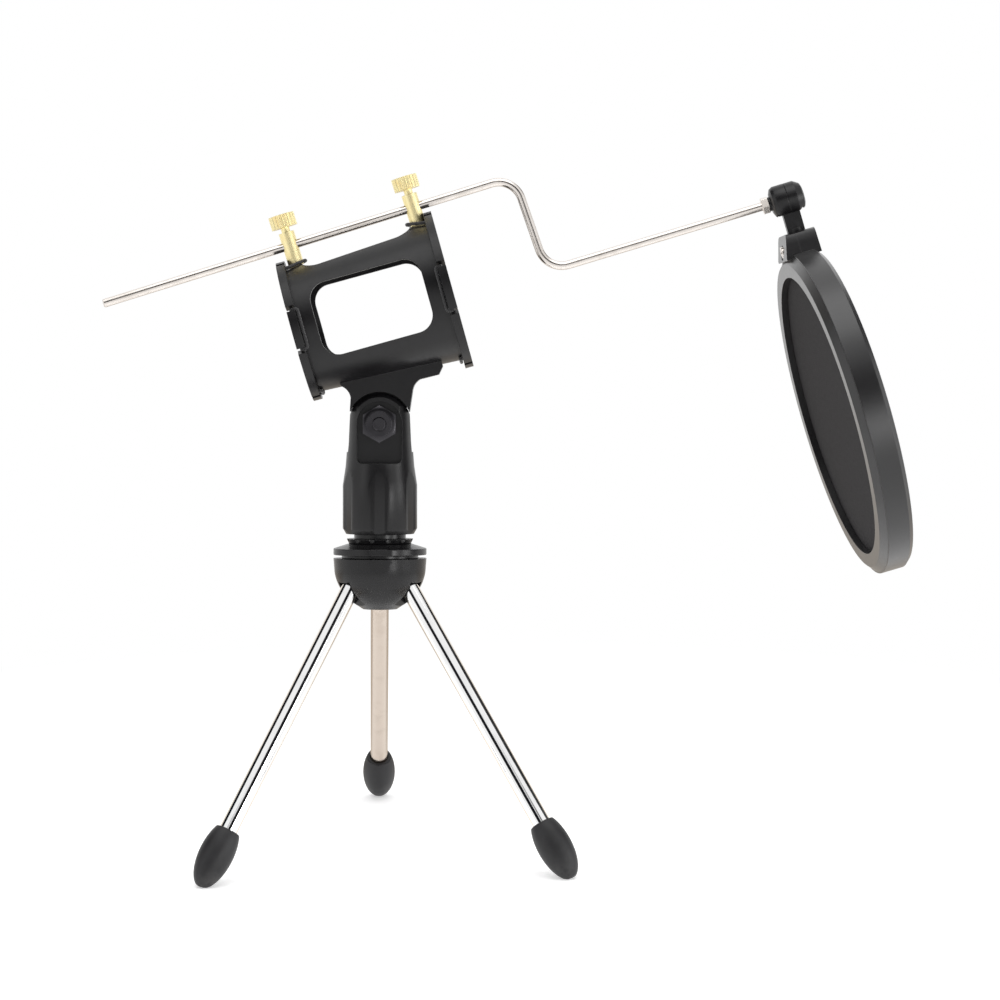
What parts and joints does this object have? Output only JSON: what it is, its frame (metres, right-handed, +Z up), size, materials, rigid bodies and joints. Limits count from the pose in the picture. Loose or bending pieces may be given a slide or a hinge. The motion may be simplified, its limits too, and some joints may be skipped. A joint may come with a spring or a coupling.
{
  "type": "pop filter",
  "caption": "Folding desk tripod with a tilting microphone cradle and a cranked rod that holds a round mesh pop filter in front of the microphone.",
  "frame": {"origin": "on the floor, straight below the point where the column axis meets the plane of the leg hinges", "axes": "+Z up from the floor, +X towards the filter, +Y towards the rear leg"},
  "size_m": [0.3668, 0.1792, 0.3117],
  "materials": {
    "hub_casting": "black lacquer, semi gloss, on a die casting",
    "clip_plastic": "black, fine satin grain",
    "hoop_plastic": "black, satin",
    "chrome_tube": "bright chrome plate",
    "nickel_tube": "warm nickel plate",
    "rubber": "soft matt rubber",
    "zinc_steel": "bright zinc plate",
    "brass": "polished, pale gold",
    "nickel_rod": "nickel plate",
    "black_steel": "black oxide",
    "elastic": "braided sleeve",
    "mesh": "open weave"
  },
  "bodies": {
    "hub": {"hub_body": "hub_casting", "hub_cap": "hub_casting", "thread_stud": "zinc_steel", "hub_bolt": "zinc_steel", "hinge_pins": "zinc_steel"},
    "leg_front_left": {"leg_front_left": "chrome_tube", "foot_front_left": "rubber"},
    "leg_front_right": {"leg_front_right": "chrome_tube", "foot_front_right": "rubber"},
    "leg_rear": {"leg_rear": "nickel_tube", "foot_rear": "rubber"},
    "lock_ring": {"lock_ring": "hub_casting"},
    "clip": {"swivel_clip": "clip_plastic", "thread_insert": "brass", "tilt_nut": "black_steel", "tilt_washer": "black_steel"},
    "tilt_knob": {"tilt_knob": "clip_plastic", "tilt_bolt": "black_steel"},
    "cradle": {"cradle_body": "clip_plastic", "elastic_cord_left": "elastic", "elastic_cord_right": "elastic", "post_left": "brass", "post_right": "brass", "post_screws": "zinc_steel"},
    "thumbscrew_left": {"thumbscrew_left": "brass"},
    "thumbscrew_right": {"thumbscrew_right": "brass"},
    "rod": {"cranked_rod": "nickel_rod"},
    "lock_nut": {"rod_lock_nut": "nickel_rod"},
    "socket": {"socket_rod_half": "clip_plastic", "socket_cap_half": "clip_plastic"},
    "stem": {"ball_stem": "clip_plastic"},
    "filter": {"hoop_front": "hoop_plastic", "hoop_rear": "hoop_plastic", "mesh_spacer": "hoop_plastic", "mesh_front": "mesh", "mesh_rear": "mesh", "neck_screw": "nickel_rod"}
  },
  "joints": [
    {"name": "leg_front_left_fold", "type": "hinge", "parent": "hub", "child": "leg_front_left", "pos_m": [-0.01264, -0.00779, 0.12518], "axis": [-0.5289, 0.8433, -0.0949], "range_deg": [-30.6, 14.3]},
    {"name": "leg_front_right_fold", "type": "hinge", "parent": "hub", "child": "leg_front_right", "pos_m": [0.01315, -0.00699, 0.12457], "axis": [-0.4703, -0.8745, 0.1186], "range_deg": [-33.2, 11.7]},
    {"name": "leg_rear_fold", "type": "hinge", "parent": "hub", "child": "leg_rear", "pos_m": [-0.0005, 0.01478, 0.12212], "axis": [0.9992, 0.0312, -0.0237], "range_deg": [-44.9, 0]},
    {"name": "lock_ring_turn", "type": "hinge", "parent": "hub", "child": "lock_ring", "pos_m": [0.00041, 0.0026, 0.14479], "axis": [0.0197, 0.124, 0.9921], "range_deg": [-90, 90]},
    {"name": "clip_turn", "type": "hinge", "parent": "hub", "child": "clip", "pos_m": [0.00069, 0.00434, 0.15868], "axis": [0.0197, 0.124, 0.9921], "range_deg": [-180, 180]},
    {"name": "tilt_knob_turn", "type": "hinge", "parent": "clip", "child": "tilt_knob", "pos_m": [0.00146, 0.00919, 0.19747], "axis": [-0.0025, 0.9923, -0.124], "range_deg": [-180, 180]},
    {"name": "cradle_tilt", "type": "hinge", "parent": "clip", "child": "cradle", "pos_m": [0.00146, 0.00919, 0.19747], "axis": [-0.0025, 0.9923, -0.124], "range_deg": [-38, 25]},
    {"name": "thumbscrew_left_turn", "type": "hinge", "parent": "cradle", "child": "thumbscrew_left", "pos_m": [-0.04039, 0.02031, 0.2873], "axis": [-0.2772, 0.1185, 0.9535], "range_deg": [0, 180]},
    {"name": "thumbscrew_right_turn", "type": "hinge", "parent": "cradle", "child": "thumbscrew_right", "pos_m": [0.01639, 0.02248, 0.30354], "axis": [-0.2772, 0.1185, 0.9535], "range_deg": [0, 180]},
    {"name": "rod_slide", "type": "slide", "parent": "cradle", "child": "rod", "axis": [0.9608, 0.0367, 0.2748], "range_m": [-0.025, 0.08]},
    {"name": "lock_nut_turn", "type": "hinge", "parent": "rod", "child": "lock_nut", "pos_m": [0.181, 0.02166, 0.29371], "axis": [0.9632, 0.0357, 0.2664], "range_deg": [0, 180]},
    {"name": "socket_roll", "type": "hinge", "parent": "rod", "child": "socket", "pos_m": [0.19063, 0.02202, 0.29638], "axis": [0.9632, 0.0357, 0.2664], "range_deg": [-90, 90]},
    {"name": "ball_tilt", "type": "hinge", "parent": "socket", "child": "stem", "pos_m": [0.19063, 0.02202, 0.29638], "axis": [-0.0025, 0.9923, -0.124], "range_deg": [-15, 15]},
    {"name": "filter_swivel", "type": "hinge", "parent": "stem", "child": "filter", "pos_m": [0.21376, 0.01129, 0.21007], "axis": [-0.257, 0.1192, 0.959], "range_deg": [-90, 90]}
  ]
}
